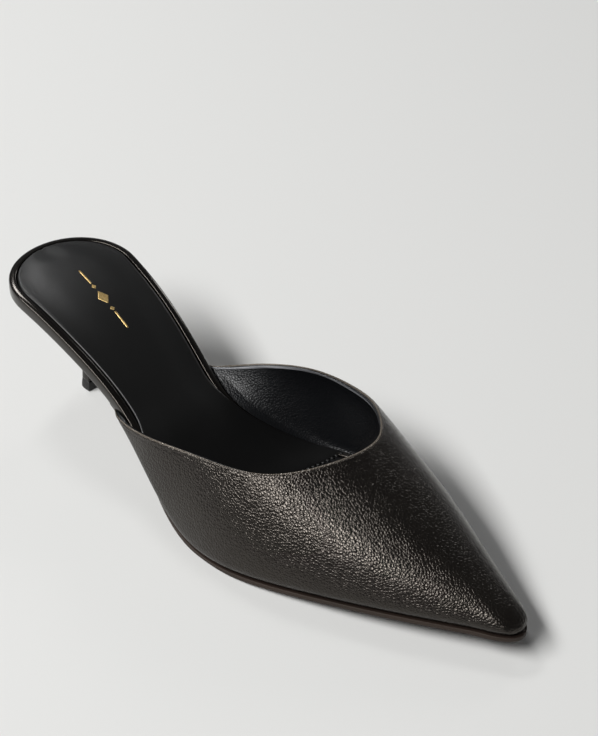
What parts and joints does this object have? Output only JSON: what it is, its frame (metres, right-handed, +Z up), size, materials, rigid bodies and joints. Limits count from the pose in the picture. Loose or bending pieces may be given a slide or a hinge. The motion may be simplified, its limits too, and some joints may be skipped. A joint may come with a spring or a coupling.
{
  "type": "mule shoe",
  "caption": "Black leather pointed-toe mule on a slim kitten heel: closed vamp, open back, padded sock on a wrapped insole.",
  "frame": {"origin": "middle of the shoe's box, on the floor it stands on", "axes": "+X from the heel to the toe, +Y towards the medial (inner) side, +Z up"},
  "size_m": [0.2626, 0.0854, 0.051],
  "materials": {
    "outsole": "smooth dark brown-black resin rubber, satin cut edge",
    "heel": "heel block covered in thin smooth black leather, satin",
    "top_piece": "hard black moulded pad, satin",
    "insole_wrap": "black leather wrapped over the board's edge, soft sheen",
    "sock": "smooth matt black lining leather over a thin pad",
    "sock_front": "matt black lining leather, unpadded",
    "upper": "fine-grained black leather with a soft sheen, black leather lining"
  },
  "bodies": {
    "root": {"outsole": "outsole", "heel": "heel", "top_piece": "top_piece", "insole": "insole_wrap", "sock": "sock", "sock_front": "sock_front", "upper": "upper"}
  },
  "joints": []
}
